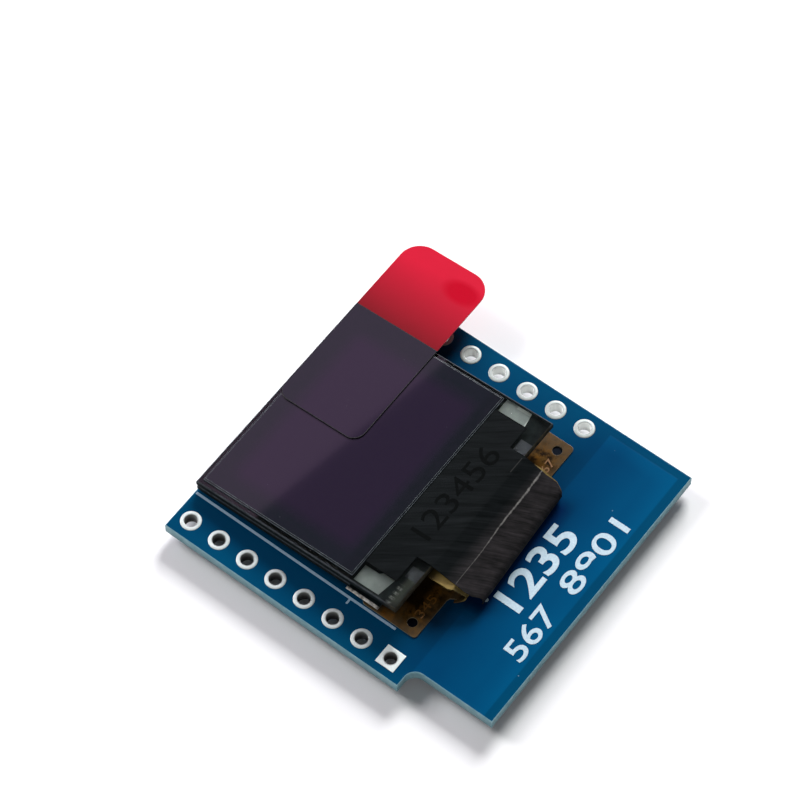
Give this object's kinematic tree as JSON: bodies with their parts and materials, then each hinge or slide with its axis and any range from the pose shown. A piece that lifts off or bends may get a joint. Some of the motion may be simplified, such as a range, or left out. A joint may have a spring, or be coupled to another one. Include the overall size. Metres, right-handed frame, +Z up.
{
  "type": "small oled module",
  "caption": "Small display module: a blue board with two rows of plated pin holes, a glass panel on foam tape, its folded flexible circuit and a red film pull tab.",
  "frame": {"origin": "centre of the pin grid, on the board's underside", "axes": "+X across the board from the row with the square pad to the other, +Y along the board towards the end that carries the glass panel, +Z up through the panel"},
  "size_m": [0.0289, 0.0275, 0.0044],
  "materials": {
    "solder_mask": "glossy blue solder mask on glass-fibre laminate, pale cut edges",
    "tin": "bright tinned copper, slightly uneven",
    "capacitor_ceramic": "matt tan ceramic with tinned ends",
    "resistor_body": "satin black coat with tinned ends",
    "white_foam": "white double-sided foam tape",
    "clear_tape": "translucent insulating tape",
    "rear_glass": "polished glass with ground edges",
    "seal_resin": "cured epoxy",
    "emissive_film": "thin dark film stack",
    "front_glass": "polished glass with ground edges",
    "polariser": "glossy purple-black film",
    "clear_film": "clear protective film over the purple-black polariser",
    "red_film": "glossy translucent red film",
    "silicon": "polished silicon",
    "metal_film": "satin metal film behind glass",
    "mark_film": "dull metal film behind glass",
    "amber_polyimide": "amber polyimide over copper",
    "black_tape": "black tape with fine diagonal striations"
  },
  "bodies": {
    "root": {"printed_circuit_board": "solder_mask", "pin_pad_left_1": "tin", "pin_pad_left_2": "tin", "pin_pad_left_3": "tin", "pin_pad_left_4": "tin", "pin_pad_left_5": "tin", "pin_pad_left_6": "tin", "pin_pad_left_7": "tin", "pin_pad_left_8": "tin", "pin_pad_right_1": "tin", "pin_pad_right_2": "tin", "pin_pad_right_3": "tin", "pin_pad_right_4": "tin", "pin_pad_right_5": "tin", "pin_pad_right_6": "tin", "pin_pad_right_7": "tin", "pin_pad_right_8": "tin", "flex_joint_1": "tin", "flex_joint_2": "tin", "flex_joint_3": "tin", "flex_joint_4": "tin", "flex_joint_5": "tin", "flex_joint_6": "tin", "flex_joint_7": "tin", "flex_joint_8": "tin", "flex_joint_9": "tin", "flex_joint_10": "tin", "flex_joint_11": "tin", "flex_joint_12": "tin", "flex_joint_13": "tin", "flex_joint_14": "tin", "capacitor_1": "capacitor_ceramic", "capacitor_2": "capacitor_ceramic", "capacitor_3": "capacitor_ceramic", "capacitor_4": "capacitor_ceramic", "capacitor_5": "capacitor_ceramic", "capacitor_6": "capacitor_ceramic", "capacitor_7": "capacitor_ceramic", "resistor_1": "resistor_body", "resistor_2": "resistor_body", "resistor_3": "resistor_body", "jumper_pad_1": "tin", "jumper_pad_2": "tin", "jumper_pad_3": "tin", "mounting_foam": "white_foam", "insulating_strip": "clear_tape", "rear_glass": "rear_glass", "seal_frame": "seal_resin", "emissive_layer": "emissive_film", "front_glass": "front_glass", "polariser": "polariser", "protective_film": "clear_film", "pull_tab": "red_film", "driver_chip": "silicon", "contact_left": "metal_film", "contact_right": "metal_film", "mark_left": "mark_film", "mark_right": "mark_film", "flex_cable": "amber_polyimide", "light_shield": "black_tape"}
  },
  "joints": []
}
